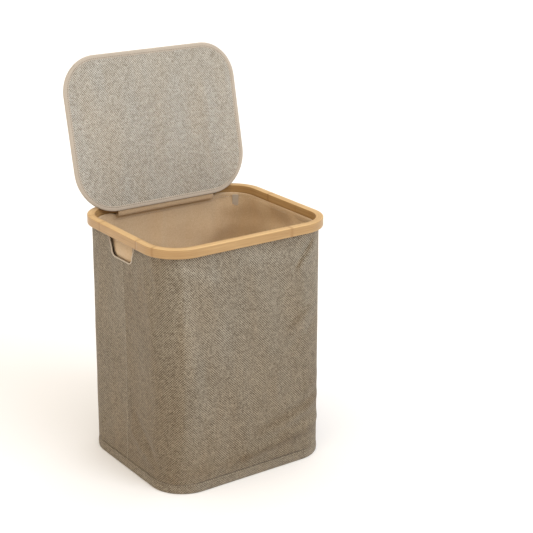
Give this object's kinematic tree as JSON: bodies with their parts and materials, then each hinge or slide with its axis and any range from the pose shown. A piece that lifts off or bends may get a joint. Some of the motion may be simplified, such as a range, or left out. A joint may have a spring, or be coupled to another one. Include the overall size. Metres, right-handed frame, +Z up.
{
  "type": "laundry hamper with lid",
  "caption": "Upright rectangular laundry hamper with rounded corners: bent bamboo rim, cloth walls, loose liner, hand holes in the sides and a hinged cloth-covered lid.",
  "frame": {"origin": "centre of the base, on the floor", "axes": "+Z up, -Y to the front, +Y to the lid's hinge side, +X to the right seen from the front"},
  "size_m": [0.438, 0.4224, 0.8752],
  "materials": {
    "bamboo": "bent laminated bamboo, fine sanded, thin clear satin lacquer",
    "cover_linen": "taupe-grey melange linen-look weave, matt",
    "lining": "smooth beige polyester lining, soft low sheen",
    "binding_tape": "light beige woven edge tape with a stitch line",
    "lid_linen": "light grey linen-look weave, matt",
    "fibreboard": "pressed fibreboard, raw, cloth covered",
    "hook_tape": "hook-and-loop patch, beige",
    "rod_steel": "drawn steel rod, satin",
    "cap_plastic": "moulded polypropylene, matt"
  },
  "bodies": {
    "base": {"base_board": "fibreboard", "base_cloth": "cover_linen", "base_hem": "cover_linen", "cover_front": "cover_linen", "cover_rear": "cover_linen", "side_seam_tapes": "binding_tape", "handle_binding_left": "binding_tape", "handle_binding_right": "binding_tape", "liner_wall": "lining", "liner_floor": "lining", "liner_hem": "lining", "liner_tabs": "binding_tape", "tab_patches": "hook_tape", "stay_rods": "rod_steel", "rod_feet": "cap_plastic", "rod_caps": "cap_plastic", "rod_sleeves": "lining"},
    "rim": {"rim_front": "bamboo", "rim_rear": "bamboo", "cover_welt": "cover_linen", "hinge_flap": "cover_linen"},
    "lid": {"lid_board": "fibreboard", "lid_outer_cloth": "cover_linen", "lid_inner_cloth": "lid_linen", "lid_binding": "binding_tape"}
  },
  "joints": [
    {"name": "rim_collapse", "type": "slide", "parent": "base", "child": "rim", "axis": [0, 0, -1], "range_m": [0, 0.47], "deforming": ["cover_front", "cover_rear", "side_seam_tapes", "handle_binding_left", "handle_binding_right", "liner_wall", "liner_hem", "liner_tabs", "tab_patches", "stay_rods", "rod_caps", "rod_sleeves"]},
    {"name": "lid_hinge", "type": "hinge", "parent": "rim", "child": "lid", "pos_m": [0, 0.1509, 0.5454], "axis": [1, 0, 0], "range_deg": [0, 102.5]}
  ]
}
